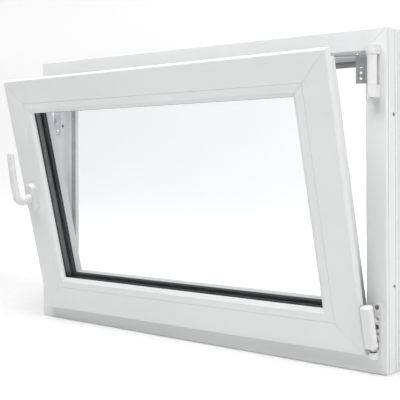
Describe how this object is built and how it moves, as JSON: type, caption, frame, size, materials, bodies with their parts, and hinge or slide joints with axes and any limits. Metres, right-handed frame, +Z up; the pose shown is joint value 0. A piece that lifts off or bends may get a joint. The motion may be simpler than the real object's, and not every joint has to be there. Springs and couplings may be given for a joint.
{
  "type": "tilt-and-turn window",
  "caption": "White plastic-framed tilt-and-turn window: outer frame, double-glazed sash tilted into the room on its stay, lever handle pointing up, hinges on the right.",
  "frame": {"origin": "middle of the outer frame's underside: half-way across its width and half-way through its 60 mm depth", "axes": "+X to the right seen from the room, +Y towards the outdoors, +Z up"},
  "size_m": [0.9, 0.2117, 0.6],
  "materials": {
    "white_profile": "white hard PVC, satin gloss",
    "white_cover": "white moulded plastic, satin",
    "white_handle": "white powder coat, satin",
    "zinc_fittings": "zinc-plated pressed steel, dull silver",
    "bright_steel": "plated steel, bright",
    "galvanised_tube": "galvanised, mottled",
    "stop_seal": "mid-grey sealing rubber, matt",
    "glazing_seal": "black glazing rubber, matt",
    "clear_glass": "clear float glass",
    "spacer_bar": "mill-finished aluminium",
    "packer_plastic": "coloured packer plastic",
    "bush_plastic": "black acetal"
  },
  "bodies": {
    "frame": {"frame_head": "white_profile", "frame_sill": "white_profile", "frame_left_jamb": "white_profile", "frame_right_jamb": "white_profile", "frame_reinforcement": "galvanised_tube", "frame_gasket": "stop_seal", "drain_caps": "white_cover", "lock_strikers": "zinc_fittings", "striker_screws": "bright_steel", "tilt_striker": "zinc_fittings", "stay_bearing": "white_cover", "stay_bearing_screws": "bright_steel", "stay_hinge_pin": "bright_steel", "stay_bearing_caps": "white_cover", "pivot_plate": "white_cover", "pivot_plate_screws": "bright_steel", "pivot_socket": "white_cover"},
    "turning_corner": {"pivot_bush": "bush_plastic"},
    "stay": {"stay_leaf": "zinc_fittings", "stay_cover": "white_cover", "stay_arm": "zinc_fittings", "stay_rivets": "bright_steel", "stay_pin": "bright_steel"},
    "sash": {"sash_top_rail": "white_profile", "sash_bottom_rail": "white_profile", "sash_left_stile": "white_profile", "sash_right_stile": "white_profile", "sash_reinforcement": "galvanised_tube", "sash_gasket": "stop_seal", "inner_pane": "clear_glass", "outer_pane": "clear_glass", "glass_spacer": "spacer_bar", "glass_edge_seal": "glazing_seal", "glazing_blocks": "packer_plastic", "inner_glass_gasket": "glazing_seal", "outer_glass_gasket": "glazing_seal", "bead_left": "white_profile", "bead_right": "white_profile", "bead_top": "white_profile", "bead_bottom": "white_profile", "faceplates": "zinc_fittings", "corner_drives": "zinc_fittings", "stay_guide": "zinc_fittings", "gear_case": "zinc_fittings", "handle_rosette": "white_handle", "rosette_screws": "bright_steel", "pivot_pin": "bright_steel", "pivot_sleeve": "zinc_fittings", "sleeve_screws": "bright_steel", "pivot_cap": "white_cover"},
    "handle": {"handle_lever": "white_handle", "handle_spindle": "bright_steel", "gear_pinion": "zinc_fittings"},
    "left_drive": {"gear_rack": "zinc_fittings", "left_drive_rod": "zinc_fittings", "left_cams": "bright_steel"},
    "top_drive": {"top_drive_rod": "zinc_fittings", "top_cams": "bright_steel"},
    "bottom_drive": {"bottom_drive_rod": "zinc_fittings", "bottom_cams": "bright_steel"}
  },
  "joints": [
    {"name": "sash_turn", "type": "hinge", "parent": "frame", "child": "turning_corner", "pos_m": [0.431, -0.0445, 0.0366], "axis": [0, 0, 1], "range_deg": [0, 90]},
    {"name": "sash_tilt", "type": "hinge", "parent": "turning_corner", "child": "sash", "pos_m": [0.431, -0.0445, 0.0366], "axis": [0.9994, -0.0339, 0], "range_deg": [-13.4, 0]},
    {"name": "stay_swing", "type": "hinge", "parent": "turning_corner", "child": "stay", "pos_m": [0.431, -0.0445, 0.525], "axis": [0, 0, 1], "range_deg": [-27.76, 0]},
    {"name": "handle_turn", "type": "hinge", "parent": "sash", "child": "handle", "pos_m": [-0.39054, -0.10718, 0.28582], "axis": [-0.0009, 0.9728, 0.2316], "range_deg": [0, 180]},
    {"name": "left_drive_slide", "type": "slide", "parent": "sash", "child": "left_drive", "axis": [-0.0078, -0.2316, 0.9728], "range_m": [-0.0189, 0]},
    {"name": "top_drive_slide", "type": "slide", "parent": "sash", "child": "top_drive", "axis": [1, -0.0009, 0.0078], "range_m": [-0.0189, 0]},
    {"name": "bottom_drive_slide", "type": "slide", "parent": "sash", "child": "bottom_drive", "axis": [1, -0.0009, 0.0078], "range_m": [0, 0.0189]}
  ],
  "couplings": [
    {"joint": "stay_swing", "follows": "sash_tilt", "ratio": 2.0705},
    {"joint": "left_drive_slide", "follows": "handle_turn", "m_per_rad": -0.006},
    {"joint": "top_drive_slide", "follows": "handle_turn", "m_per_rad": -0.006},
    {"joint": "bottom_drive_slide", "follows": "handle_turn", "m_per_rad": 0.006}
  ]
}
